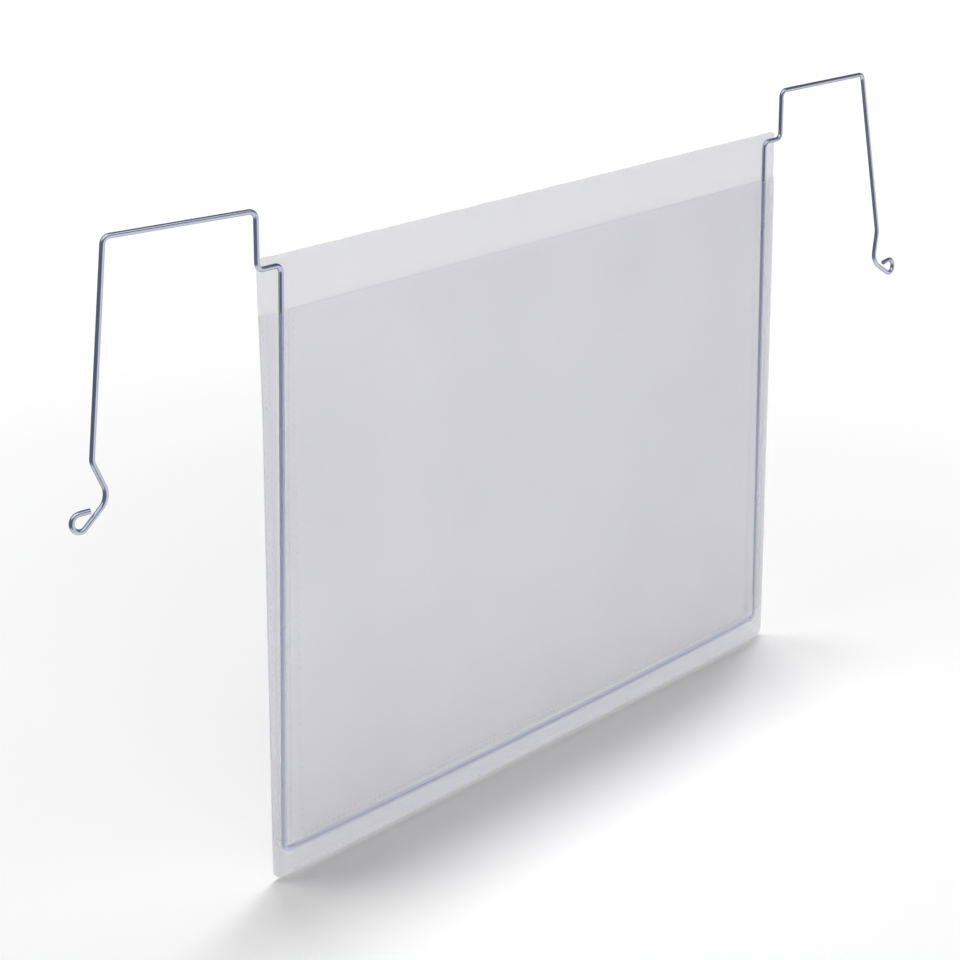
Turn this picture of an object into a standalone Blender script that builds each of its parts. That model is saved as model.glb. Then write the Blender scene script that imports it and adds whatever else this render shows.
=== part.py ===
"""Hanging document pocket for a landscape sheet of office paper.

Two polypropylene sheets are welded together round three sides. A second weld line inside the first
leaves a channel between the sheets. One bent steel wire runs down one side of that channel, along the
bottom and up the other side, and ends in a spring hook on each side of the pocket.

Metres. X runs to the right, Y to the back and Z up. The origin lies midway between the two hooks, level
with the undersides of their bridges, in the plane of the pocket's back face.
"""
import math

import bmesh
import bpy
from mathutils import Vector

# The two sheets
FILM_WIDTH = 0.335
BACK_HEIGHT = 0.253
FRONT_DROP = 0.022           # the front sheet ends this far below the back one, which opens the mouth
FILM_THICKNESS = 0.0003
BOTTOM_CORNER_RADIUS = 0.0045
TOP_CORNER_RADIUS = 0.002

# The two weld lines, measured from the edge of the film to the middle of the weld
OUTER_WELD_INSET = 0.002
INNER_WELD_INSET = 0.0158
WELD_WIDTH = 0.0012
CHANNEL_SLOPE = 0.0016       # the front sheet climbs from each weld to the channel's crest over this width

# The wire in the channel
WIRE_DIAMETER = 0.0021
BEND_INNER_RADIUS = 0.002
LEFT_LEG_INSET = 0.0073      # from the side edge of the film to the middle of each leg, halfway up
RIGHT_LEG_INSET = 0.0093
LEFT_LEG_LEAN = 0.005        # each leg stands this much further out at its foot than at its top
RIGHT_LEG_LEAN = 0.0022
RUN_LIFT = 0.0028            # the ends of the bottom run lie this far above the middle of the channel
RUN_BOW = 0.0017             # and its middle hangs this far below its ends
STEP_DROP = 0.0036           # the wire leaves the pocket this far below the top of the back sheet

# The hooks
HOOK_CLEARANCE = 0.0025      # from the side edge of the film to the middle of the rising wire
HOOK_RISE = 0.0226
BRIDGE_LENGTH = 0.0649
SPRING_LEG_LENGTH = 0.0803
KINK_LENGTH = 0.0154
TIP_LENGTH = 0.014
TAIL_LENGTH = 0.0045
KINK_INNER_RADIUS = 0.0041
TIP_INNER_RADIUS = 0.0058
CURL_INNER_RADIUS = 0.00225
SPRING_LEG_SPLAY = math.radians(7.8)
CURL_SWEEP = math.radians(220.0)
HOOK_LEAN = math.radians(3.6)        # the spring legs lean to the front
LEFT_HOOK_TURN = math.radians(9.2)   # each hook's turn to the back, out of the plane of the pocket
RIGHT_HOOK_TURN = math.radians(-2.5)
LEFT_KINK_SPLAY = math.radians(-22.9)
RIGHT_KINK_SPLAY = math.radians(-14.2)
LEFT_TIP_SPLAY = math.radians(48.6)
RIGHT_TIP_SPLAY = math.radians(58.0)

# Clearance between pieces that touch, and the fineness of curves
FIT = 0.0003
BEND_STEPS = 5
CURL_STEPS = 14
RUN_STEPS = 6
CORNER_STEPS = 5
SLOPE_STEPS = 4
WIRE_BEVEL_RESOLUTION = 2
STRAIGHT_TURN = math.radians(4.0)    # a flatter corner than this is part of a slow curve and isn't rounded

# Fits that follow from the sizes above
WIRE_RADIUS = WIRE_DIAMETER / 2
BEND_RADIUS = BEND_INNER_RADIUS + WIRE_RADIUS
KINK_RADIUS = KINK_INNER_RADIUS + WIRE_RADIUS
TIP_RADIUS = TIP_INNER_RADIUS + WIRE_RADIUS
CURL_RADIUS = CURL_INNER_RADIUS + WIRE_RADIUS
FRONT_HEIGHT = BACK_HEIGHT - FRONT_DROP
BACK_FRONT_FACE_Y = -FILM_THICKNESS
WIRE_Y = BACK_FRONT_FACE_Y - FIT - WIRE_RADIUS
SEAM_Y = BACK_FRONT_FACE_Y - FIT                 # the hidden face of the front sheet at its welds
CREST_Y = WIRE_Y - WIRE_RADIUS - FIT             # and over the wire
CHANNEL_RISE = SEAM_Y - CREST_Y
CHANNEL_START = OUTER_WELD_INSET + WELD_WIDTH / 2
CHANNEL_END = INNER_WELD_INSET - WELD_WIDTH / 2
CHANNEL_MIDDLE = (OUTER_WELD_INSET + INNER_WELD_INSET) / 2
BORDER_WIDTH = INNER_WELD_INSET + WELD_WIDTH / 2
WINDOW_INSET = BORDER_WIDTH + FIT
STEP_HEIGHT = BACK_HEIGHT - STEP_DROP
BRIDGE_HEIGHT = STEP_HEIGHT + HOOK_RISE
HANG_HEIGHT = BRIDGE_HEIGHT - WIRE_RADIUS        # from the bottom edge of the pocket to what it hangs on

STEEL_COLOUR = (0.56, 0.58, 0.62)
FILM_COLOUR = (0.84, 0.84, 0.87)


def clear_scene():
    for leftover in list(bpy.data.objects):
        bpy.data.objects.remove(leftover, do_unlink=True)


def make_material(name, colour, roughness, metallic, alpha):
    material = bpy.data.materials.new(name)
    material.use_nodes = True
    shader = material.node_tree.nodes["Principled BSDF"]
    shader.inputs["Base Color"].default_value = (*colour, 1.0)
    shader.inputs["Roughness"].default_value = roughness
    shader.inputs["Metallic"].default_value = metallic
    shader.inputs["Alpha"].default_value = alpha
    return material


def add_part(name, data, material, collection, hang_point):
    part = bpy.data.objects.new(name, data)
    data.materials.append(material)
    collection.objects.link(part)
    part.parent = hang_point
    return part


def arc(centre, radius, start, sweep, steps):
    """Points on an arc in the plane of a sheet, both ends included."""
    angles = [start + sweep * step / steps for step in range(steps + 1)]
    return [(centre[0] + radius * math.cos(angle), centre[1] + radius * math.sin(angle)) for angle in angles]


def rounded_sheet_outline(width, height, bottom_radius, top_radius):
    """The outline of a sheet that stands on Z = 0, counter-clockwise from its lower left corner."""
    right = width / 2
    quarter = math.pi / 2
    corners = [
        (-right + bottom_radius, bottom_radius, bottom_radius, 2 * quarter),
        (right - bottom_radius, bottom_radius, bottom_radius, 3 * quarter),
        (right - top_radius, height - top_radius, top_radius, 0.0),
        (-right + top_radius, height - top_radius, top_radius, quarter),
    ]
    outline = []
    for x, z, radius, start in corners:
        outline += arc((x, z), radius, start, quarter, CORNER_STEPS)
    return outline


def flat_sheet(name, outline):
    """A 2D curve, filled and extruded to the thickness of the film."""
    curve = bpy.data.curves.new(name, "CURVE")
    curve.dimensions = "2D"
    curve.fill_mode = "BOTH"
    curve.extrude = FILM_THICKNESS / 2
    spline = curve.splines.new("POLY")
    spline.points.add(len(outline) - 1)
    for point, (x, z) in zip(spline.points, outline):
        point.co = (x, z, 0.0, 1.0)
    spline.use_cyclic_u = True
    return curve


def stand_sheet(part, middle_y, foot_z):
    """Turns a sheet drawn flat upright, its middle layer at middle_y and its foot at foot_z."""
    part.rotation_euler = (math.pi / 2, 0.0, 0.0)
    part.location = (0.0, middle_y, foot_z)


def make_back_sheet(material, collection, hang_point):
    outline = rounded_sheet_outline(FILM_WIDTH, BACK_HEIGHT, BOTTOM_CORNER_RADIUS, TOP_CORNER_RADIUS)
    part = add_part("back_sheet", flat_sheet("back_sheet", outline), material, collection, hang_point)
    stand_sheet(part, BACK_FRONT_FACE_Y + FILM_THICKNESS / 2, 0.0)


def make_front_window(material, collection, hang_point):
    """The part of the front sheet inside the inner weld, its origin on the line where it bends forward."""
    right = FILM_WIDTH / 2 - WINDOW_INSET
    top = FRONT_HEIGHT - WINDOW_INSET
    outline = [(-right, 0.0), (right, 0.0), (right, top), (-right, top)]
    part = add_part("front_window", flat_sheet("front_window", outline), material, collection, hang_point)
    stand_sheet(part, SEAM_Y - FILM_THICKNESS / 2, WINDOW_INSET)


def channel_profile():
    """Inset from the film's edge and depth of the front sheet's hidden face, across the wire channel."""
    profile = [(0.0, SEAM_Y)]
    for step in range(SLOPE_STEPS + 1):
        share = step / SLOPE_STEPS
        swell = (1 - math.cos(math.pi * share)) / 2
        profile.append((CHANNEL_START + CHANNEL_SLOPE * share, SEAM_Y - CHANNEL_RISE * swell))
    for step in range(SLOPE_STEPS + 1):
        share = step / SLOPE_STEPS
        swell = (1 + math.cos(math.pi * share)) / 2
        profile.append((CHANNEL_END - CHANNEL_SLOPE * (1 - share), SEAM_Y - CHANNEL_RISE * swell))
    profile.append((BORDER_WIDTH, SEAM_Y))
    return profile


def border_stations():
    """Functions from an inset to a place in the sheet, round the border from its left to its right end."""
    left = -FILM_WIDTH / 2

    def corner_place(side, angle):
        def place(inset):
            reach = max(BOTTOM_CORNER_RADIUS, inset)
            radius = reach - inset
            x = left + reach - radius * math.sin(angle)
            return (side * x, reach - radius * math.cos(angle))
        return place

    angles = [math.pi / 2 * step / CORNER_STEPS for step in range(CORNER_STEPS + 1)]
    stations = [lambda inset: (left + inset, FRONT_HEIGHT)]
    stations += [corner_place(1, angle) for angle in reversed(angles)]
    stations += [corner_place(-1, angle) for angle in angles]
    stations.append(lambda inset: (-left - inset, FRONT_HEIGHT))
    return stations


def make_front_border(material, collection, hang_point):
    """The welded border of the front sheet: the channel's section, swept round three sides of the pocket."""
    profile = channel_profile()
    stations = border_stations()
    shape = bmesh.new()
    section = []
    for inset, y in profile:
        x, z = stations[0](inset)
        section.append(shape.verts.new((x, y, z)))
    edges = [shape.edges.new(pair) for pair in zip(section, section[1:])]
    for station in stations[1:]:
        swept = bmesh.ops.extrude_edge_only(shape, edges=edges)["geom"]
        edges = [item for item in swept if isinstance(item, bmesh.types.BMEdge)]
        section = follow_section(section, swept)
        for vertex, (inset, y) in zip(section, profile):
            x, z = station(inset)
            vertex.co = (x, y, z)
    bmesh.ops.remove_doubles(shape, verts=shape.verts, dist=FIT / 100)
    bmesh.ops.recalc_face_normals(shape, faces=shape.faces)
    if sum(face.normal.y for face in shape.faces) > 0:
        bmesh.ops.reverse_faces(shape, faces=shape.faces)
    mesh = bpy.data.meshes.new("front_border")
    shape.to_mesh(mesh)
    shape.free()
    part = add_part("front_border", mesh, material, collection, hang_point)
    shell = part.modifiers.new("film", "SOLIDIFY")
    shell.thickness = FILM_THICKNESS
    shell.offset = 1.0
    shell.use_even_offset = True


def follow_section(section, swept):
    """The new section's vertices in the order of the old ones, which they still lie on."""
    fresh = [item for item in swept if isinstance(item, bmesh.types.BMVert)]
    ordered = []
    for vertex in section:
        joined = {edge.other_vert(vertex) for edge in vertex.link_edges}
        ordered.append(next(candidate for candidate in fresh if candidate in joined))
    return ordered


def rounded_path(corners, radii):
    """Points along straight runs, with an arc at each corner that turns sharply."""
    points = [corners[0]]
    for before, corner, after, radius in zip(corners, corners[1:], corners[2:], radii):
        heading = (corner - before).normalized()
        leaving = (after - corner).normalized()
        turn = heading.angle(leaving)
        if turn < STRAIGHT_TURN:
            points.append(corner)
            continue
        inward = (leaving - heading * leaving.dot(heading)).normalized()
        start = corner - heading * radius * math.tan(turn / 2)
        centre = start + inward * radius
        for step in range(BEND_STEPS + 1):
            angle = turn * step / BEND_STEPS
            points.append(centre + (heading * math.sin(angle) - inward * math.cos(angle)) * radius)
    points.append(corners[-1])
    return points


def hook_plane(side, turn):
    """The outward and downward directions of a hook's spring leg."""
    outward = Vector((side * math.cos(turn), math.sin(turn), 0.0))
    to_front = Vector((side * math.sin(turn), -math.cos(turn), 0.0))
    downward = to_front * math.sin(HOOK_LEAN) - Vector((0.0, 0.0, 1.0)) * math.cos(HOOK_LEAN)
    return outward, downward


def half_wire(side, leg_inset, leg_lean, turn, kink_splay, tip_splay):
    """The wire's middle line from the middle of the bottom run to the end of one hook."""
    leg_middle = FILM_WIDTH / 2 - leg_inset
    foot_x = leg_middle + leg_lean / 2
    head_x = leg_middle - leg_lean / 2
    rise_x = FILM_WIDTH / 2 + HOOK_CLEARANCE
    run_end = CHANNEL_MIDDLE + RUN_LIFT

    def in_pocket(x, z):
        return Vector((side * x, WIRE_Y, z))

    corners = []
    for step in range(RUN_STEPS + 1):
        share = step / RUN_STEPS
        corners.append(in_pocket(foot_x * share, run_end - RUN_BOW * (1 - share * share)))
    corners.append(in_pocket(head_x, STEP_HEIGHT))
    corners.append(in_pocket(rise_x, STEP_HEIGHT))
    bridge_start = in_pocket(rise_x, BRIDGE_HEIGHT)
    corners.append(bridge_start)

    outward, downward = hook_plane(side, turn)
    corners.append(bridge_start + outward * BRIDGE_LENGTH)
    def along(splay):
        return outward * math.sin(splay) + downward * math.cos(splay)

    lengths = (SPRING_LEG_LENGTH, KINK_LENGTH, TIP_LENGTH)
    splays = (SPRING_LEG_SPLAY, kink_splay, tip_splay)
    for length, splay in zip(lengths, splays):
        corners.append(corners[-1] + along(splay) * length)
    radii = [BEND_RADIUS] * (len(corners) - 4) + [KINK_RADIUS, TIP_RADIUS]

    path = rounded_path(corners, radii)
    tip = path[-1]
    for step in range(1, CURL_STEPS + 1):
        splay = tip_splay + CURL_SWEEP * step / CURL_STEPS
        across = math.cos(tip_splay) - math.cos(splay)
        down = math.sin(splay) - math.sin(tip_splay)
        path.append(tip + (outward * across + downward * down) * CURL_RADIUS)
    path.append(path[-1] + along(tip_splay + CURL_SWEEP) * TAIL_LENGTH)
    return path


def make_wire_bracket(material, collection, hang_point):
    left = half_wire(-1, LEFT_LEG_INSET, LEFT_LEG_LEAN, LEFT_HOOK_TURN, LEFT_KINK_SPLAY, LEFT_TIP_SPLAY)
    right = half_wire(1, RIGHT_LEG_INSET, RIGHT_LEG_LEAN, RIGHT_HOOK_TURN, RIGHT_KINK_SPLAY, RIGHT_TIP_SPLAY)
    path = left[::-1] + right[1:]
    curve = bpy.data.curves.new("wire_bracket", "CURVE")
    curve.dimensions = "3D"
    curve.bevel_depth = WIRE_RADIUS
    curve.bevel_resolution = WIRE_BEVEL_RESOLUTION
    curve.use_fill_caps = True
    spline = curve.splines.new("POLY")
    spline.points.add(len(path) - 1)
    for point, place in zip(spline.points, path):
        point.co = (*place, 1.0)
    add_part("wire_bracket", curve, material, collection, hang_point)


def main():
    clear_scene()
    collection = bpy.data.collections.new("hanging_document_pocket")
    bpy.context.scene.collection.children.link(collection)
    hang_point = bpy.data.objects.new("pocket_foot", None)
    hang_point.location = (0.0, 0.0, -HANG_HEIGHT)
    collection.objects.link(hang_point)

    make_wire_bracket(make_material("bright_steel", STEEL_COLOUR, 0.3, 1.0, 1.0), collection, hang_point)
    make_back_sheet(make_material("back_film", FILM_COLOUR, 0.45, 0.0, 0.5), collection, hang_point)
    make_front_border(make_material("border_film", FILM_COLOUR, 0.45, 0.0, 0.5), collection, hang_point)
    make_front_window(make_material("window_film", FILM_COLOUR, 0.45, 0.0, 0.5), collection, hang_point)
    bpy.context.view_layer.update()


main()
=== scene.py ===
"""The looks of the hanging document pocket: matt film, dotted welds and bright wire in a white studio."""
import math

import bmesh
import bpy
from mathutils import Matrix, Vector


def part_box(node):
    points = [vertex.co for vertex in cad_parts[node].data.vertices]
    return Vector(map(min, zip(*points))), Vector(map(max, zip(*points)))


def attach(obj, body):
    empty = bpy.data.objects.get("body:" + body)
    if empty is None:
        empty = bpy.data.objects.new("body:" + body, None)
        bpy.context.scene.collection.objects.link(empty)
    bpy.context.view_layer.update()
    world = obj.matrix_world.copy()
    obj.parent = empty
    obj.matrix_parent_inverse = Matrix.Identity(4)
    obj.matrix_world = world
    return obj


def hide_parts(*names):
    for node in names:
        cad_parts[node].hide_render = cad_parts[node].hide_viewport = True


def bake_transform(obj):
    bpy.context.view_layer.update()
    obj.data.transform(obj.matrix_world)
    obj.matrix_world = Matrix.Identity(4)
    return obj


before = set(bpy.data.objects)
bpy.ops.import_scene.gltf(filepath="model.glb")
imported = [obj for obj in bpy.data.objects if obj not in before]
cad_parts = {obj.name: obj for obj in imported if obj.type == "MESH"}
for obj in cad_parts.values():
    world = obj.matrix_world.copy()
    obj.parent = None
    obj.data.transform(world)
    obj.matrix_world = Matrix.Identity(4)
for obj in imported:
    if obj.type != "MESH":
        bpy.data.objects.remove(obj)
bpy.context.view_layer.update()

# Sizes in metres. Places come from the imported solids.
film_low, film_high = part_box("back_sheet")
window_low, window_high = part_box("front_window")
FILM_LEFT, FILM_RIGHT = film_low.x, film_high.x
FOOT_Z, BACK_TOP_Z = film_low.z, film_high.z
FRONT_TOP_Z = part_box("front_border")[1].z
FILM_THICKNESS = film_high.y - film_low.y
SEAM_Y = window_high.y                   # the hidden face of the front film where it is welded
BEND_Z = window_low.z                    # the front film bends forward above this line
BOTTOM_CORNER_RADIUS = 0.0045
TOP_CORNER_RADIUS = 0.0026

OUTER_WELD_INSET = 0.002
INNER_WELD_INSET = 0.0158
WELD_WIDTH = 0.0012
WELD_PITCH = 0.003
WELD_DOT_LENGTH = 0.0016
WELD_DOT_WIDTH = 0.0008
WELD_DOT_HEIGHT = 0.00008
WELD_DOT_SIDES = 10
WELD_DOT_GAP = 0.00003                   # between the dots and the face of the film
WELD_ROW_GAP = 0.0015
WELD_ROW_EASE = 0.0005                   # how far the inner rows lie outside the line that the film bends at
WELD_TOP_GAP = 0.003                     # from the front film's top edge to the first dot

# The wire, as it was bent
WIRE_DIAMETER = 0.0021
BEND_INNER_RADIUS = 0.002
LEFT_LEG_INSET = 0.0073
RIGHT_LEG_INSET = 0.0093
LEFT_LEG_LEAN = 0.005
RIGHT_LEG_LEAN = 0.0022
RUN_LIFT = 0.0028
RUN_BOW = 0.0017
STEP_DROP = 0.0036
HOOK_CLEARANCE = 0.0025
HOOK_RISE = 0.0226
BRIDGE_LENGTH = 0.0649
SPRING_LEG_LENGTH = 0.0803
KINK_LENGTH = 0.0154
TIP_LENGTH = 0.014
TAIL_LENGTH = 0.0045
KINK_INNER_RADIUS = 0.0041
TIP_INNER_RADIUS = 0.0058
CURL_INNER_RADIUS = 0.00225
SPRING_LEG_SPLAY = math.radians(7.8)
CURL_SWEEP = math.radians(220.0)
HOOK_LEAN = math.radians(3.6)
LEFT_HOOK_TURN = math.radians(9.2)
RIGHT_HOOK_TURN = math.radians(-2.5)
LEFT_KINK_SPLAY = math.radians(-22.9)
RIGHT_KINK_SPLAY = math.radians(-14.2)
LEFT_TIP_SPLAY = math.radians(48.6)
RIGHT_TIP_SPLAY = math.radians(58.0)
FIT = 0.0003                             # between the wire and the back film
WIRE_SIDES = 20
BEND_STEPS = 10
CURL_STEPS = 36
RUN_STEPS = 16
STRAIGHT_TURN = math.radians(4.0)        # a flatter corner than this isn't rounded
SHARP_EDGE = math.radians(50.0)

WIRE_RADIUS = WIRE_DIAMETER / 2
BEND_RADIUS = BEND_INNER_RADIUS + WIRE_RADIUS
KINK_RADIUS = KINK_INNER_RADIUS + WIRE_RADIUS
TIP_RADIUS = TIP_INNER_RADIUS + WIRE_RADIUS
CURL_RADIUS = CURL_INNER_RADIUS + WIRE_RADIUS
WIRE_Y = film_low.y - FIT - WIRE_RADIUS
# The reach of the wire's legs from the middle, at their foot and head, for the left and the right side
LEG_FOOT = {-1: FILM_RIGHT - LEFT_LEG_INSET + LEFT_LEG_LEAN / 2,
            1: FILM_RIGHT - RIGHT_LEG_INSET + RIGHT_LEG_LEAN / 2}
LEG_HEAD = {-1: FILM_RIGHT - LEFT_LEG_INSET - LEFT_LEG_LEAN / 2,
            1: FILM_RIGHT - RIGHT_LEG_INSET - RIGHT_LEG_LEAN / 2}
RISE_X = FILM_RIGHT + HOOK_CLEARANCE
CHANNEL_MIDDLE = (OUTER_WELD_INSET + INNER_WELD_INSET) / 2
RUN_END_Z = FOOT_Z + CHANNEL_MIDDLE + RUN_LIFT
STEP_Z = BACK_TOP_Z - STEP_DROP

# The front film over the wire
CHANNEL_START = OUTER_WELD_INSET + WELD_WIDTH / 2
CHANNEL_END = INNER_WELD_INSET - WELD_WIDTH / 2
CHANNEL_BLEND = 0.0012                   # how far the channel's round corners reach
CORNER_EASE = 0.004                      # how gently the channel over the run turns into those over the legs
CREST_REACH = 0.6 * WIRE_RADIUS          # half the width of the film that bears on a leg
LEG_CHANNEL_START, LEG_CHANNEL_END = 0.014, 0.03    # the heights over which the channel narrows to the leg
WIRE_TOUCH = 0.00015                     # between the wire and the film that lies over it
SLIDE_DOWN, SLIDE_UP = 0.0015, 0.0028    # the play that the film leaves the wire's bottom run

# The films' slack, ripples and flutes. Each wave has its share, its radians per metre across and up,
# and its start.
SLACK_DEPTH = 0.00035
SLACK_REACH = 0.05
RIPPLE_DEPTH = 0.00012
RIPPLES = ((1.0, 41.0, 13.0, 0.0), (1.0, 23.0, -31.0, 0.0))
FLUTE_DEPTH = 0.0002
FLUTE_DROP = 0.012                       # the flutes start this far below the front film's top edge
FLUTE_HALF_WIDTH = 0.12
FLUTES = ((1.0, 262.0, 40.0, 0.0), (0.6, 171.0, 0.0, 1.3))
LEFT_CORNER_PUSH, RIGHT_CORNER_PUSH = 0.0014, 0.0004
CORNER_PUSH_HEIGHT = 0.07

# The camera, fitted to the corners of the film in the photograph's 960 by 960 frame
CAMERA_PLACE = (-0.773, -0.637, 0.468)   # from the middle of the film's bottom edge
CAMERA_YAW = math.radians(48.89)
CAMERA_PITCH = math.radians(14.48)
CAMERA_LENS = 91.4
CAMERA_SENSOR = 36.0
CAMERA_SHIFT_Y = -0.2
CAMERA_DEPTH = 50.0


class Flow:
    """An output socket of a node tree. Sums and products of flows add Math nodes to that tree."""

    def __init__(self, tree, socket):
        self.tree = tree
        self.socket = socket

    def math(self, operation, first, second):
        return add_node(self.tree, "ShaderNodeMath", {"operation": operation}, {0: first, 1: second})

    def __add__(self, other):
        return self.math("ADD", self, other)

    def __sub__(self, other):
        return self.math("SUBTRACT", self, other)

    def __rsub__(self, other):
        return self.math("SUBTRACT", other, self)

    def __mul__(self, other):
        return self.math("MULTIPLY", self, other)

    __radd__ = __add__
    __rmul__ = __mul__

    def size(self):
        return self.math("ABSOLUTE", self, 0.0)

    def at_least(self, other):
        return self.math("MAXIMUM", self, other)

    def at_most(self, other):
        return self.math("MINIMUM", self, other)

    def rising(self, low, high):
        """0 below low, 1 above high and a smooth rise between them."""
        settings = {"interpolation_type": "SMOOTHSTEP"}
        return add_node(self.tree, "ShaderNodeMapRange", settings, {0: self, 1: low, 2: high})

    def beside(self, output):
        """Another output of the same node."""
        return Flow(self.tree, self.socket.node.outputs[output])


def feed(tree, socket, value):
    """Links a flow to a socket, or sets a plain value on it."""
    if isinstance(value, Flow):
        tree.links.new(value.socket, socket)
    else:
        socket.default_value = value


def add_node(tree, kind, settings, inputs, output=0):
    """Adds one node: its settings first, then the values or links of its sockets."""
    node = tree.nodes.new(kind)
    for name, value in settings.items():
        setattr(node, name, value)
    for key, value in inputs.items():
        feed(tree, node.inputs[key], value)
    return Flow(tree, node.outputs[output])


def end_tree(tree, kind, flow):
    """Links the last flow of a tree to its output node."""
    end = tree.nodes.new(kind)
    tree.links.new(flow.socket, end.inputs[0])


def new_material(name):
    """A material with a bare Principled shader, and that shader's node tree and sockets."""
    material = bpy.data.materials.new(name)
    material.use_nodes = True
    tree = material.node_tree
    return material, tree, tree.nodes["Principled BSDF"].inputs


def object_place(tree):
    return add_node(tree, "ShaderNodeTexCoord", {}, {}, "Object")


def along_axis(place, axis):
    return add_node(place.tree, "ShaderNodeSeparateXYZ", {}, {0: place}, axis)


def noise(tree, place, scale, detail):
    return add_node(tree, "ShaderNodeTexNoise", {}, {"Vector": place, "Scale": scale, "Detail": detail})


def mix_colour(tree, factor, first, second):
    return add_node(tree, "ShaderNodeMix", {"data_type": "RGBA"}, {0: factor, 6: first, 7: second}, 2)


# Each film drifts and clouds from its first shade to its second, mostly from left to right; the drift is
# painted light, paler on the left and darker on the right.
# The two films are one film: the front film's paler shades and the back film's darker ones are painted light
# and shade
BACK_SHADES = ((0.81, 0.81, 0.86, 1.0), (0.77, 0.77, 0.82, 1.0))
FRONT_SHADES = ((0.912, 0.912, 0.965, 1.0), (0.828, 0.828, 0.88, 1.0))
PAINTED_DRIFT_SHARE, CLOUD_SHARE = 0.6, 0.4
# Painted light: the foot band is given a paler, slightly bluer tone than the film above, lifting the shade
# that the films get near the floor
PAINTED_FOOT_LIGHT = (0.95, 0.95, 1.0, 1.0)
FOOT_BAND = 1.6 * INNER_WELD_INSET
# Painted shade along the wire's bottom run, where the front film is drawn over it: darkest at the wire's
# upper edge
PAINTED_RUN_SHADE = (0.60, 0.63, 0.79, 1.0)
# How much each film covers: at its top, low down and at its bottom edge
BACK_ALPHAS = (0.45, 0.48, 0.37)
FRONT_ALPHAS = (0.45, 0.49, 0.37)
CLOUD_ALPHA = 0.015
BEARING_ALPHA = 0.57
LEG_FOOT_ALPHA, LEG_HEAD_ALPHA = 0.23, 0.09
RIM_ALPHA = 0.6
FILM_CLOUD_SCALE = 14.0
FILM_GRAIN_SCALE = 2600.0


def film_finish(name, shades, alphas, over_wire):
    """Matt polypropylene film: cloudy, grained and clearer on the wire's legs, with painted shade along the
    wire's bottom run, painted light in its foot band and a painted drift from a paler left to a darker right.
    """
    top_alpha, low_alpha, edge_alpha = alphas
    material, tree, sockets = new_material(name)
    place = object_place(tree)
    cloud = noise(tree, place, FILM_CLOUD_SCALE, 3.0)
    grain = noise(tree, place, FILM_GRAIN_SCALE, 2.0)
    across = along_axis(place, "X")
    height = along_axis(place, "Z")
    lift = height.rising(FOOT_Z, FRONT_TOP_Z)
    off_edge = height.rising(FOOT_Z, FOOT_Z + FOOT_BAND)
    off_rim = height.rising(FOOT_Z, FOOT_Z + FILM_THICKNESS)
    density = low_alpha + (top_alpha - low_alpha) * lift + CLOUD_ALPHA * (cloud - 0.5)
    density = edge_alpha + (density - edge_alpha) * off_edge
    density = RIM_ALPHA + (density - RIM_ALPHA) * off_rim
    # Painted light: the film is paler to the left and darker to the right
    painted_drift = across.rising(0.5 * FILM_LEFT, FILM_RIGHT)
    plain = mix_colour(tree, CLOUD_SHARE * cloud.rising(0.3, 0.7) + PAINTED_DRIFT_SHARE * painted_drift, *shades)
    # Painted light: paler in the band along the films' bottom edge
    tone = mix_colour(tree, off_edge, PAINTED_FOOT_LIGHT, plain)
    if over_wire:
        inward = inside_wire(across, height)
        on_run = over_run(across, height)
        on_leg = (1.0 - inward.size().rising(1.1 * WIRE_DIAMETER, 1.5 * WIRE_DIAMETER)) * (1.0 - on_run)
        density = density + (LEG_FOOT_ALPHA + (LEG_HEAD_ALPHA - LEG_FOOT_ALPHA) * lift - density) * on_leg
        bearing = on_run * (1.0 - inward.size().rising(1.3 * WIRE_RADIUS, 2.0 * WIRE_RADIUS))
        density = density + (BEARING_ALPHA - density) * bearing
        # Painted shade over the wire's bottom run: darkest at its upper edge, fading out towards its lower
        # edge and just above the upper edge
        painted_run_shade_mask = on_run * inward.rising(-WIRE_RADIUS, WIRE_RADIUS)
        painted_run_shade_mask = painted_run_shade_mask * (1.0 - inward.rising(WIRE_RADIUS, 1.3 * WIRE_RADIUS))
        tone = mix_colour(tree, painted_run_shade_mask, tone, PAINTED_RUN_SHADE)
    feed(tree, sockets["Base Color"], tone)
    feed(tree, sockets["Roughness"], 0.42 + 0.12 * grain)
    feed(tree, sockets["Alpha"], density)
    bump = {"Strength": 0.25, "Distance": 0.00004, "Height": grain}
    feed(tree, sockets["Normal"], add_node(tree, "ShaderNodeBump", {}, bump))
    return material


MIDDLE_EASE = 0.001                      # where the left leg's reach changes over to the right one's


def run_height(across):
    """The height of the middle of the wire's bottom run, which sags between its ends."""
    share = across * (1.0 / LEG_FOOT[1])
    return RUN_END_Z - RUN_BOW + RUN_BOW * (share * share)


def leg_reach(across, height):
    """How far the middle of the wire's leg lies from the middle of the pocket, at that height."""
    on_right = across.rising(-MIDDLE_EASE, MIDDLE_EASE)
    climb = (height - RUN_END_Z) * (1.0 / (STEP_Z - RUN_END_Z))
    foot = LEG_FOOT[-1] + (LEG_FOOT[1] - LEG_FOOT[-1]) * on_right
    head = LEG_HEAD[-1] + (LEG_HEAD[1] - LEG_HEAD[-1]) * on_right
    return foot + (head - foot) * climb


def inside_wire(across, height):
    """The distance inwards from the middle line of the wire's legs, bottom run and the bends between them."""
    past_leg = BEND_RADIUS - (leg_reach(across, height) - across.size())
    past_run = BEND_RADIUS - (height - run_height(across))
    corner = {0: past_leg.at_least(0.0), 1: past_run.at_least(0.0), 2: 0.0}
    corner = add_node(across.tree, "ShaderNodeCombineXYZ", {}, corner)
    from_centre = add_node(across.tree, "ShaderNodeVectorMath", {"operation": "LENGTH"}, {0: corner}, 1)
    nearest = past_leg.at_least(past_run)
    return BEND_RADIUS - (from_centre + nearest.at_most(0.0))


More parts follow.
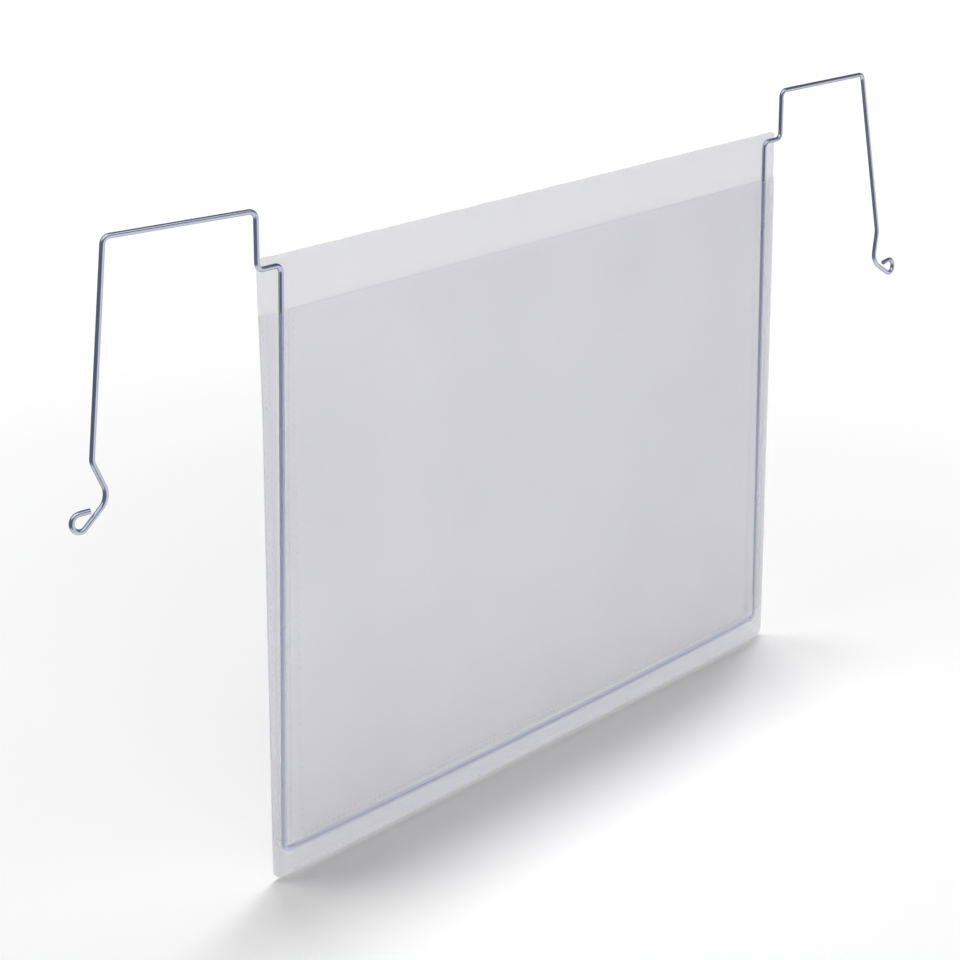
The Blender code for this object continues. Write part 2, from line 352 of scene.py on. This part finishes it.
def over_run(across, height):
    """1 over the wire's bottom run, and 0 over its bends and legs."""
    return (leg_reach(across, height) - across.size()).rising(BEND_RADIUS, 3.0 * BEND_RADIUS)


# Painted light and shade: the pressed dots are paler at the foot and darker above, for the light that reaches
# each height
PRESSED_SHADES = ((0.92, 0.92, 0.95, 1.0), (0.99, 0.99, 1.0, 1.0))
PRESSED_PAINTED_TOP_SHADE = (0.78, 0.78, 0.82, 1.0)
CUT_SHADES = ((0.88, 0.88, 0.92, 1.0), (0.94, 0.94, 0.97, 1.0))
PRESSED_CLOUD_SCALE = 420.0
CUT_CLOUD_SCALE = 300.0


def weld_finish():
    """Film that the welding tool has pressed: paler than the rest near the foot and a little darker above, a
    change with height that is painted light and shade.
    """
    material, tree, sockets = new_material("pressed_weld")
    place = object_place(tree)
    cloud = noise(tree, place, PRESSED_CLOUD_SCALE, 2.0)
    lift = along_axis(place, "Z").rising(FOOT_Z, FRONT_TOP_Z)
    pale = mix_colour(tree, cloud, *PRESSED_SHADES)
    # Painted light and shade: paler at the foot, darker above
    feed(tree, sockets["Base Color"], mix_colour(tree, lift, pale, PRESSED_PAINTED_TOP_SHADE))
    feed(tree, sockets["Roughness"], 0.3 + 0.15 * cloud)
    feed(tree, sockets["Alpha"], 0.02 + 0.06 * cloud.rising(0.4, 0.65))
    return material


def edge_finish():
    """The cut edge of the film, which lets the light through."""
    material, tree, sockets = new_material("cut_film_edge")
    cloud = noise(tree, object_place(tree), CUT_CLOUD_SCALE, 2.0)
    feed(tree, sockets["Base Color"], mix_colour(tree, cloud, *CUT_SHADES))
    feed(tree, sockets["Roughness"], 0.3 + 0.2 * cloud)
    feed(tree, sockets["Alpha"], 0.08 + 0.06 * cloud)
    return material


def seam_finish():
    """Where one piece of the front film runs on into the next, which can't be seen."""
    material, tree, sockets = new_material("film_runs_on")
    cloud = noise(tree, object_place(tree), CUT_CLOUD_SCALE, 2.0)
    feed(tree, sockets["Base Color"], mix_colour(tree, cloud, *FRONT_SHADES))
    sockets["Alpha"].default_value = 0.0
    return material


BARE_WIRE_SHADES = ((0.48, 0.50, 0.58, 1.0), (0.60, 0.62, 0.70, 1.0))
# Painted light: under the film the wire's colour is painted bluer, and paler towards the foot, standing in
# for the film's milky veil of light over it
PAINTED_COVERED_WIRE_SHADES = ((0.58, 0.60, 0.78, 1.0), (0.36, 0.38, 0.56, 1.0))    # at the foot and at the mouth
WIRE_SHINE_TINT = (0.4, 0.42, 0.5, 1.0)
DIE_LINES_ALONG, DIE_LINES_AROUND = 18.0, 9.0
WIRE_PATCH_SCALE = 55.0


def wire_finish():
    """Bright drawn wire: die lines along it, duller patches, and a blurred shine under the matt film, where
    its colour is painted bluer and paler towards the foot, standing in for the film's veil of light over it.
    """
    material, tree, sockets = new_material("drawn_wire")
    along = add_node(tree, "ShaderNodeAttribute", {"attribute_name": "wire_along"}, {}, 2)
    around = add_node(tree, "ShaderNodeAttribute", {"attribute_name": "wire_around"}, {}, 2)
    unrolled = {0: along * DIE_LINES_ALONG, 1: around * DIE_LINES_AROUND, 2: 0.0}
    lines = noise(tree, add_node(tree, "ShaderNodeCombineXYZ", {}, unrolled), 1.0, 3.0)
    place = object_place(tree)
    patches = noise(tree, place, WIRE_PATCH_SCALE, 3.0)
    height = along_axis(place, "Z")
    under_film = 1.0 - along_axis(place, "X").size().rising(FILM_RIGHT, FILM_RIGHT + WIRE_RADIUS)
    under_film = under_film * (1.0 - height.rising(FRONT_TOP_Z - WIRE_RADIUS, FRONT_TOP_Z))
    bare = mix_colour(tree, lines.rising(0.3, 0.7), *BARE_WIRE_SHADES)
    # Painted light: the wire's colour under the film
    painted_covered_tone = mix_colour(tree, height.rising(FOOT_Z, FRONT_TOP_Z), *PAINTED_COVERED_WIRE_SHADES)
    feed(tree, sockets["Base Color"], mix_colour(tree, under_film, bare, painted_covered_tone))
    sockets["Metallic"].default_value = 1.0
    sockets["Specular Tint"].default_value = WIRE_SHINE_TINT
    feed(tree, sockets["Roughness"], 0.12 + 0.14 * patches.rising(0.35, 0.7) + 0.15 * under_film)
    bump = {"Strength": 0.1, "Distance": 0.00003, "Height": lines}
    feed(tree, sockets["Normal"], add_node(tree, "ShaderNodeBump", {}, bump))
    return material


def smooth_step(value, low, high):
    """0 below low, 1 above high and a smooth rise between them."""
    share = min(max((value - low) / (high - low), 0.0), 1.0)
    return share * share * (3 - 2 * share)


def spaced(low, high, longest):
    """Even steps from low to high, none longer than longest, without the last point."""
    count = max(1, math.ceil((high - low) / longest - 1e-9))
    return [low + (high - low) * step / count for step in range(count)]


# Stretches of the films that need a fine grid: the welded edges, the fluted top and the line of the bend
EDGE_BAND = 0.0185
FLUTED_BAND = 0.03
BEND_BAND = 0.015
FINE_STEP = 0.0006
WIDE_STEP = 0.006


def columns():
    """X values across the film, close together over the channels."""
    band = FILM_RIGHT - EDGE_BAND
    right = spaced(0.0, band, WIDE_STEP) + spaced(band, FILM_RIGHT, FINE_STEP) + [FILM_RIGHT]
    return [-x for x in right[:0:-1]] + right


def rows(low, high, fine_low, fine_high):
    """Z values up the film, close together over fine stretches at its foot and its top."""
    below = spaced(low, low + fine_low, FINE_STEP) if fine_low else []
    above = spaced(high - fine_high, high, FINE_STEP) if fine_high else []
    return below + spaced(low + fine_low, high - fine_high, WIDE_STEP) + above + [high]


def half_width(z, top, top_radius):
    """How far the film reaches from its middle at height z, with its corners rounded."""
    reach = FILM_RIGHT
    for radius, depth in ((BOTTOM_CORNER_RADIUS, z - FOOT_Z), (top_radius, top - z)):
        if depth < radius:
            reach = min(reach, FILM_RIGHT - radius + math.sqrt(max(radius**2 - (radius - depth)**2, 0.0)))
    return reach


def inset_from_edges(x, z):
    """The distance to the nearest of the film's three welded edges, eased at the corners."""
    gaps = (x - FILM_LEFT, FILM_RIGHT - x, z - FOOT_Z)
    nearest = min(gaps)
    return nearest - CHANNEL_BLEND * math.log(sum(math.exp((nearest - gap) / CHANNEL_BLEND) for gap in gaps))


def channel_swell(x, z):
    """How far the front film stands off its welds: over the legs at the sides, with play along the foot."""
    inset = inset_from_edges(x, z)
    if not CHANNEL_START < inset < CHANNEL_END:
        return 0.0
    side = -1 if x < 0 else 1
    climb = (z - RUN_END_Z) / (STEP_Z - RUN_END_Z)
    leg_inset = FILM_RIGHT - LEG_FOOT[side] + (LEG_FOOT[side] - LEG_HEAD[side]) * climb
    side_gap = FILM_RIGHT - abs(x)
    at_side = smooth_step(z - FOOT_Z - side_gap, -CORNER_EASE, CORNER_EASE)
    above_bend = at_side * smooth_step(z, FOOT_Z + LEG_CHANNEL_START, FOOT_Z + LEG_CHANNEL_END)
    run_low = RUN_END_Z - RUN_BOW - FOOT_Z - SLIDE_UP
    run_high = RUN_END_Z - FOOT_Z + SLIDE_DOWN
    crest_low = run_low + (leg_inset - CREST_REACH - run_low) * at_side
    crest_high = run_high + (leg_inset + CREST_REACH - run_high) * above_bend
    swell = SEAM_Y - (WIRE_Y - WIRE_RADIUS - WIRE_TOUCH)
    if inset < crest_low:
        return swell * math.sin(math.pi / 2 * (inset - CHANNEL_START) / (crest_low - CHANNEL_START))
    if inset > crest_high:
        return swell * math.sin(math.pi / 2 * (CHANNEL_END - inset) / (CHANNEL_END - crest_high))
    return swell


def waves(x, z, parts):
    return sum(share * math.sin(x * across + z * up + start) for share, across, up, start in parts)


def corner_push(x, z):
    """How far the pocket's upper corners are bent back, the left one more."""
    push = LEFT_CORNER_PUSH if x < 0 else RIGHT_CORNER_PUSH
    beside_wire = smooth_step(abs(x), LEG_HEAD[-1], FILM_RIGHT)
    return push * beside_wire * smooth_step(z, BACK_TOP_Z - CORNER_PUSH_HEIGHT, BACK_TOP_Z)


def front_face_y(x, z):
    """The hidden face of the front film: on the back film at its welds, over the wire, and slack between."""
    slack = smooth_step(inset_from_edges(x, z), CHANNEL_END, CHANNEL_END + SLACK_REACH)
    slack = slack * (SLACK_DEPTH + RIPPLE_DEPTH * waves(x, z, RIPPLES))
    return SEAM_Y - channel_swell(x, z) - slack + corner_push(x, z)


def back_face_y(x, z):
    """The back film's rear face: flat below, gently fluted above the mouth, its upper corners bent back."""
    above_mouth = smooth_step(z, FRONT_TOP_Z - FLUTE_DROP, BACK_TOP_Z)
    between_legs = 1 - smooth_step(abs(x), FLUTE_HALF_WIDTH, LEG_HEAD[1])
    flute = above_mouth * between_legs * FLUTE_DEPTH * waves(x, z, FLUTES)
    return film_high.y + flute + corner_push(x, z)


def made_mesh(piece):
    """What the piece's modifiers make of it, as a mesh of its own."""
    bpy.context.view_layer.update()
    graph = bpy.context.evaluated_depsgraph_get()
    return bpy.data.meshes.new_from_object(piece.evaluated_get(graph))


def film_piece(name, xs, zs, top, top_radius, face_y, evenness, materials):
    """A sheet of film: a grid on its rear face, given its thickness to the front by Solidify."""
    shape = bmesh.new()
    grid = []
    for z in zs:
        squeeze = half_width(z, top, top_radius) / FILM_RIGHT
        grid.append([shape.verts.new((x * squeeze, face_y(x * squeeze, z), z)) for x in xs])
    for low, high in zip(grid, grid[1:]):
        for corner in range(len(xs) - 1):
            shape.faces.new((low[corner], low[corner + 1], high[corner + 1], high[corner]))
    flat = bpy.data.meshes.new(name)
    shape.to_mesh(flat)
    shape.free()
    piece = bpy.data.objects.new(name, flat)
    bpy.context.scene.collection.objects.link(piece)
    shell = piece.modifiers.new("film", "SOLIDIFY")
    shell.thickness = FILM_THICKNESS
    shell.offset = 1.0
    mesh = made_mesh(piece)
    piece.modifiers.clear()
    piece.data = mesh
    bpy.data.meshes.remove(flat)
    for material in materials:
        mesh.materials.append(material)
    shade_evenly(mesh, face_y, evenness)
    return piece


# How evenly each film scatters light, whichever way it leans
FRONT_EVENNESS = 0.92
BACK_EVENNESS = 0.0
LEAN_STEP = 0.0001                       # the film's lean is measured over this distance to each side
SAME_PLACE = 1e-6
CUT_EDGE_FACING = 0.3                    # a face that looks less than this to the front or back is a cut edge
TOP_EDGE_FACING = 0.7                    # and one that looks more than this upwards is a top edge
FILM_SLOT, EDGE_SLOT, SEAM_SLOT = 0, 1, 2


def runs_on(mesh, face):
    """Whether a face lies where one piece of the front film runs on into the next."""
    places = [mesh.vertices[corner].co for corner in face.vertices]
    in_middle = all(abs(place.x) < SAME_PLACE for place in places)
    return in_middle or all(abs(place.z - BEND_Z) < SAME_PLACE for place in places)


def shade_evenly(mesh, face_y, evenness):
    """Evens out the shading over slopes, because the film scatters light that reaches it from all sides."""
    mesh.shade_smooth()
    share = 1 - evenness
    span = 2 * LEAN_STEP
    normals = []
    for face in mesh.polygons:
        cut_edge = abs(face.normal.y) < CUT_EDGE_FACING
        face.material_index = EDGE_SLOT if face.normal.z > TOP_EDGE_FACING else FILM_SLOT
        if runs_on(mesh, face):
            face.material_index = SEAM_SLOT
        for corner in face.vertices:
            if cut_edge:
                normals.append(face.normal.copy())
                continue
            x, _, z = mesh.vertices[corner].co
            lean_x = (face_y(x + LEAN_STEP, z) - face_y(x - LEAN_STEP, z)) / span
            lean_z = (face_y(x, z + LEAN_STEP) - face_y(x, z - LEAN_STEP)) / span
            facing = math.copysign(1.0, face.normal.y)
            normals.append(Vector((-share * lean_x, 1.0, -share * lean_z)).normalized() * facing)
    mesh.normals_split_custom_set(normals)


def rounded_path(corners, radii):
    """Points along straight runs, with an arc at each corner that turns sharply."""
    points = [corners[0]]
    for before, corner, after, radius in zip(corners, corners[1:], corners[2:], radii):
        heading = (corner - before).normalized()
        leaving = (after - corner).normalized()
        turn = heading.angle(leaving)
        if turn < STRAIGHT_TURN:
            points.append(corner)
            continue
        inward = (leaving - heading * leaving.dot(heading)).normalized()
        start = corner - heading * radius * math.tan(turn / 2)
        centre = start + inward * radius
        for step in range(BEND_STEPS + 1):
            angle = turn * step / BEND_STEPS
            points.append(centre + (heading * math.sin(angle) - inward * math.cos(angle)) * radius)
    points.append(corners[-1])
    return points


def half_wire(side, turn, kink_splay, tip_splay):
    """The wire's middle line from the middle of the bottom run to the end of one hook."""
    outward = Vector((side * math.cos(turn), math.sin(turn), 0.0))
    to_front = Vector((side * math.sin(turn), -math.cos(turn), 0.0))
    downward = to_front * math.sin(HOOK_LEAN) - Vector((0.0, 0.0, 1.0)) * math.cos(HOOK_LEAN)

    def in_pocket(x, z):
        return Vector((side * x, WIRE_Y, z))

    def along(splay):
        return outward * math.sin(splay) + downward * math.cos(splay)

    corners = []
    for step in range(RUN_STEPS + 1):
        share = step / RUN_STEPS
        corners.append(in_pocket(LEG_FOOT[side] * share, RUN_END_Z - RUN_BOW * (1 - share * share)))
    corners.append(in_pocket(LEG_HEAD[side], STEP_Z))
    corners.append(in_pocket(RISE_X, STEP_Z))
    corners.append(in_pocket(RISE_X, STEP_Z + HOOK_RISE))
    corners.append(corners[-1] + outward * BRIDGE_LENGTH)
    lengths = (SPRING_LEG_LENGTH, KINK_LENGTH, TIP_LENGTH)
    splays = (SPRING_LEG_SPLAY, kink_splay, tip_splay)
    for length, splay in zip(lengths, splays):
        corners.append(corners[-1] + along(splay) * length)
    radii = [BEND_RADIUS] * (len(corners) - 4) + [KINK_RADIUS, TIP_RADIUS]

    path = rounded_path(corners, radii)
    tip = path[-1]
    for step in range(1, CURL_STEPS + 1):
        splay = tip_splay + CURL_SWEEP * step / CURL_STEPS
        over = math.cos(tip_splay) - math.cos(splay)
        down = math.sin(splay) - math.sin(tip_splay)
        path.append(tip + (outward * over + downward * down) * CURL_RADIUS)
    path.append(path[-1] + along(tip_splay + CURL_SWEEP) * TAIL_LENGTH)
    return path


def path_object(name, paths):
    """A curve object with one straight-sided spline for each path."""
    curve = bpy.data.curves.new(name, "CURVE")
    curve.dimensions = "3D"
    for path in paths:
        spline = curve.splines.new("POLY")
        spline.points.add(len(path) - 1)
        for point, place in zip(spline.points, path):
            point.co = (*place, 1.0)
    piece = bpy.data.objects.new(name, curve)
    bpy.context.scene.collection.objects.link(piece)
    return piece


def geometry_tree(name, sizes):
    """An empty Geometry Nodes tree with a geometry input and one named input for each size."""
    tree = bpy.data.node_groups.new(name, "GeometryNodeTree")
    tree.interface.new_socket("Geometry", in_out="INPUT", socket_type="NodeSocketGeometry")
    for label in sizes:
        tree.interface.new_socket(label, in_out="INPUT", socket_type="NodeSocketFloat")
    tree.interface.new_socket("Geometry", in_out="OUTPUT", socket_type="NodeSocketGeometry")
    entry = tree.nodes.new("NodeGroupInput")
    flows = {socket.name: Flow(tree, socket) for socket in entry.outputs if socket.name}
    return tree, flows


def close_tree(tree, geometry, material):
    """Ends a Geometry Nodes tree in a plain mesh of one material."""
    solid = add_node(tree, "GeometryNodeRealizeInstances", {}, {"Geometry": geometry})
    finished = add_node(tree, "GeometryNodeSetMaterial", {}, {"Geometry": solid, "Material": material})
    end_tree(tree, "NodeGroupOutput", finished)


def grow(piece, tree, sizes):
    """Runs a Geometry Nodes tree on a curve object and returns the result as a mesh object of that name."""
    modifier = piece.modifiers.new("growth", "NODES")
    modifier.node_group = tree
    for item in tree.interface.items_tree:
        if item.in_out == "INPUT" and item.name in sizes:
            modifier[item.identifier] = sizes[item.name]
    mesh = made_mesh(piece)
    name = piece.name
    bpy.data.objects.remove(piece, do_unlink=True)
    mesh.name = name
    grown = bpy.data.objects.new(name, mesh)
    bpy.context.scene.collection.objects.link(grown)
    return grown


def wire_tree(material):
    """Sweeps a round section along the wire and notes each point's place along and around it."""
    tree, given = geometry_tree("wire_sweep", ["Diameter"])
    length = add_node(tree, "GeometryNodeSplineParameter", {}, {}, "Length")
    stored = {"data_type": "FLOAT", "domain": "POINT"}
    path = add_node(tree, "GeometryNodeStoreNamedAttribute", stored,
                    {"Geometry": given["Geometry"], "Name": "wire_along", "Value": length})
    section = add_node(tree, "GeometryNodeCurvePrimitiveCircle", {},
                       {"Resolution": WIRE_SIDES, "Radius": given["Diameter"] * 0.5})
    turn = add_node(tree, "GeometryNodeSplineParameter", {}, {}, "Factor")
    there_and_back = turn.math("PINGPONG", turn * 2.0, 1.0)
    section = add_node(tree, "GeometryNodeStoreNamedAttribute", stored,
                       {"Geometry": section, "Name": "wire_around", "Value": there_and_back})
    swept = add_node(tree, "GeometryNodeCurveToMesh", {},
                     {"Curve": path, "Profile Curve": section, "Fill Caps": True})
    close_tree(tree, swept, material)
    return tree


def weld_tree(material):
    """Sets a pressed dot every pitch along each row, long ways with the row."""
    tree, given = geometry_tree("weld_rows", ["Pitch", "Dot Length", "Dot Width", "Dot Height"])
    points = add_node(tree, "GeometryNodeCurveToPoints", {"mode": "LENGTH"},
                      {"Curve": given["Geometry"], "Length": given["Pitch"]}, "Points")
    turn = add_node(tree, "FunctionNodeAlignRotationToVector", {"axis": "X", "pivot_axis": "Y"},
                    {"Vector": points.beside("Tangent")})
    disc = add_node(tree, "GeometryNodeMeshCylinder", {},
                    {"Vertices": WELD_DOT_SIDES, "Radius": 0.5, "Depth": 1.0})
    dot = add_node(tree, "GeometryNodeTransform", {}, {"Geometry": disc, "Rotation": (math.pi / 2, 0.0, 0.0)})
    size = add_node(tree, "ShaderNodeCombineXYZ", {},
                    {0: given["Dot Length"], 1: given["Dot Height"], 2: given["Dot Width"]})
    dots = add_node(tree, "GeometryNodeInstanceOnPoints", {},
                    {"Points": points, "Instance": dot, "Rotation": turn, "Scale": size})
    close_tree(tree, dots, material)
    return tree


def weld_row(inset, lead):
    """One row of dots on the film's face, from the top of the left side round to the top of the right."""
    top = FRONT_TOP_Z - WELD_TOP_GAP - lead
    left, right, low = FILM_LEFT + inset, FILM_RIGHT - inset, FOOT_Z + inset
    climb = spaced(low, top, WIDE_STEP) + [top]
    row = [(left, z) for z in climb[::-1]]
    row += [(x, low) for x in spaced(left, right, WIDE_STEP)[1:]]
    row += [(right, z) for z in climb]
    proud = FILM_THICKNESS + WELD_DOT_GAP + WELD_DOT_HEIGHT / 2
    return [Vector((x, front_face_y(x, z) - proud, z)) for x, z in row]


def shine_through(piece):
    """Keeps a thin piece from darkening the film that it touches, because light spreads inside matt film."""
    piece.visible_shadow = False
    piece.visible_diffuse = False


def make_wire():
    left = half_wire(-1, LEFT_HOOK_TURN, LEFT_KINK_SPLAY, LEFT_TIP_SPLAY)
    right = half_wire(1, RIGHT_HOOK_TURN, RIGHT_KINK_SPLAY, RIGHT_TIP_SPLAY)
    piece = path_object("bright_wire", [left[::-1] + right[1:]])
    piece = grow(piece, wire_tree(wire_finish()), {"Diameter": WIRE_DIAMETER})
    piece.data.shade_smooth()
    piece.data.set_sharp_from_angle(angle=SHARP_EDGE)
    shine_through(piece)
    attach(piece, "bracket")
    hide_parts("wire_bracket")


def make_films():
    whole = columns()
    edges = (edge_finish(), seam_finish())
    back_finish = film_finish("back_film_matt", BACK_SHADES, BACK_ALPHAS, False)
    back = film_piece("back_film", whole, rows(FOOT_Z, BACK_TOP_Z, EDGE_BAND, FLUTED_BAND), BACK_TOP_Z,
                      TOP_CORNER_RADIUS, back_face_y, BACK_EVENNESS, (back_finish, *edges))
    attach(back, "pocket")
    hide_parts("back_sheet")

    front_finish = film_finish("front_film_matt", FRONT_SHADES, FRONT_ALPHAS, True)
    foot = film_piece("front_film_foot", whole, rows(FOOT_Z, BEND_Z, BEND_Z - FOOT_Z, 0.0), FRONT_TOP_Z, 0.0,
                      front_face_y, FRONT_EVENNESS, (front_finish, *edges))
    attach(foot, "pocket")
    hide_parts("front_border")

    upper_rows = rows(BEND_Z, FRONT_TOP_Z, BEND_BAND, 0.0)
    for name, side in (("front_film_left", -1), ("front_film_right", 1)):
        half = [x for x in whole if x * side >= 0.0]
        piece = film_piece(name, half, upper_rows, FRONT_TOP_Z, 0.0, front_face_y, FRONT_EVENNESS,
                           (front_finish, *edges))
        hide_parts("front_window")
        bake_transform(piece)


def make_welds():
    paths = []
    for inset in (OUTER_WELD_INSET, INNER_WELD_INSET - WELD_ROW_EASE):
        paths.append(weld_row(inset - WELD_ROW_GAP / 2, 0.0))
        paths.append(weld_row(inset + WELD_ROW_GAP / 2, WELD_PITCH / 2))
    piece = path_object("weld_dots", paths)
    sizes = {"Pitch": WELD_PITCH, "Dot Length": WELD_DOT_LENGTH, "Dot Width": WELD_DOT_WIDTH,
             "Dot Height": WELD_DOT_HEIGHT}
    piece = grow(piece, weld_tree(weld_finish()), sizes)
    shine_through(piece)
    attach(piece, "pocket")


def white_to_the_eye(tree, plain, shown):
    """Shows one shader to the camera, to gloss and through glass, and another to the rest of the light."""
    seen = add_node(tree, "ShaderNodeLightPath", {}, {}, "Is Camera Ray")
    in_gloss = seen.beside("Is Glossy Ray")
    through_glass = seen.beside("Is Transmission Ray")
    seen = seen.at_least(in_gloss).at_least(through_glass)
    return add_node(tree, "ShaderNodeMixShader", {}, {0: seen, 1: plain, 2: shown})


WHITE = (1.0, 1.0, 1.0, 1.0)
FLOOR_SHADE = (0.9, 0.9, 0.9, 1.0)
FLOOR_SIZE = 12.0
FLOOR_GAP = 0.0002
# The floor is brightened away from the part, between these distances from the origin
GLOW_START, GLOW_END = 0.35, 0.75
GLOW_STRENGTH = 0.08


def make_floor():
    bpy.ops.mesh.primitive_plane_add(size=FLOOR_SIZE, location=(0.0, 0.0, FOOT_Z - FLOOR_GAP))
    floor = bpy.context.object
    floor.name = "floor"
    floor.visible_glossy = False
    material = bpy.data.materials.new("floor_white")
    material.use_nodes = True
    tree = material.node_tree
    tree.nodes.clear()
    paper = add_node(tree, "ShaderNodeBsdfDiffuse", {}, {"Color": FLOOR_SHADE})
    place = add_node(tree, "ShaderNodeNewGeometry", {}, {}, "Position")
    distance = add_node(tree, "ShaderNodeVectorMath", {"operation": "LENGTH"}, {0: place}, 1)
    away = distance.rising(GLOW_START, GLOW_END)
    glow = add_node(tree, "ShaderNodeEmission", {}, {"Color": WHITE, "Strength": GLOW_STRENGTH * away})
    lit = add_node(tree, "ShaderNodeAddShader", {}, {0: paper, 1: glow})
    end_tree(tree, "ShaderNodeOutputMaterial", white_to_the_eye(tree, paper, lit))
    floor.data.materials.append(material)


# What the wire shows of the studio: white below it and to the right, a lit ceiling patch, and a dim room
LIT_WAY = (0.94, -0.34, 0.0)
PATCH_WAY = (-0.35, 0.15, 0.92)
ROOM_SHADE = (0.17, 0.18, 0.26, 1.0)
WORLD_LIGHT = 0.04


def make_world():
    world = bpy.data.worlds.new("studio")
    bpy.context.scene.world = world
    world.use_nodes = True
    tree = world.node_tree
    tree.nodes.clear()
    way = add_node(tree, "ShaderNodeTexCoord", {}, {}, "Generated")
    to_right = add_node(tree, "ShaderNodeVectorMath", {"operation": "DOT_PRODUCT"}, {0: way, 1: LIT_WAY}, 1)
    to_patch = add_node(tree, "ShaderNodeVectorMath", {"operation": "DOT_PRODUCT"}, {0: way, 1: PATCH_WAY}, 1)
    height = along_axis(way, "Z")
    lit_side = to_right.rising(0.0, 0.4) * (1.0 - height.rising(0.0, 0.15))
    table = 1.0 - height.rising(-0.75, -0.4)
    bright = lit_side.at_least(to_patch.rising(0.7, 0.85)).at_least(table)
    in_gloss = add_node(tree, "ShaderNodeLightPath", {}, {}, "Is Glossy Ray")
    seen = mix_colour(tree, in_gloss * (1.0 - bright), WHITE, ROOM_SHADE)
    soft = add_node(tree, "ShaderNodeBackground", {}, {"Color": WHITE, "Strength": WORLD_LIGHT})
    shown = add_node(tree, "ShaderNodeBackground", {}, {"Color": seen, "Strength": 1.0})
    end_tree(tree, "ShaderNodeOutputWorld", white_to_the_eye(tree, soft, shown))


# Name, strength, how wide the light looks from the object, where it shines to, and whether the wire shows it
SUNS = (("overhead_left", 0.9, 14.0, (0.1, -0.2, -1.0), False),
        ("overhead", 0.9, 14.0, (-0.2, -0.2, -1.0), False),
        ("overhead_right", 0.9, 14.0, (-0.55, -0.2, -1.0), False),
        ("left_window", 0.25, 40.0, (0.3, 0.75, -1.0), True),
        ("right_window", 0.3, 40.0, (-0.35, 0.75, -1.0), True),
        ("front_window", 1.12, 40.0, (0.5, 0.85, -0.15), False))
LAMP_PLACE = (0.0, 0.0, 1.0)


def make_lamps():
    for name, strength, width, aim, shows in SUNS:
        lamp = bpy.data.lights.new(name, "SUN")
        lamp.energy = strength
        lamp.angle = math.radians(width)
        holder = bpy.data.objects.new(name, lamp)
        holder.location = LAMP_PLACE
        holder.rotation_mode = "QUATERNION"
        holder.rotation_quaternion = Vector(aim).to_track_quat("-Z", "Y")
        holder.visible_glossy = shows
        bpy.context.scene.collection.objects.link(holder)


def make_camera():
    data = bpy.data.cameras.new("photo_view")
    data.lens = CAMERA_LENS
    data.sensor_width = CAMERA_SENSOR
    data.shift_y = CAMERA_SHIFT_Y
    data.clip_end = CAMERA_DEPTH
    camera = bpy.data.objects.new("photo_view", data)
    camera.location = Vector(CAMERA_PLACE) + Vector((0.0, 0.0, FOOT_Z))
    flat = math.cos(CAMERA_PITCH)
    aim = Vector((math.sin(CAMERA_YAW) * flat, math.cos(CAMERA_YAW) * flat, -math.sin(CAMERA_PITCH)))
    camera.rotation_mode = "QUATERNION"
    camera.rotation_quaternion = aim.to_track_quat("-Z", "Y")
    bpy.context.scene.collection.objects.link(camera)
    bpy.context.scene.camera = camera


make_camera()
make_world()
make_lamps()
make_floor()
make_wire()
make_films()
make_welds()
bpy.context.scene.view_settings.view_transform = "Standard"
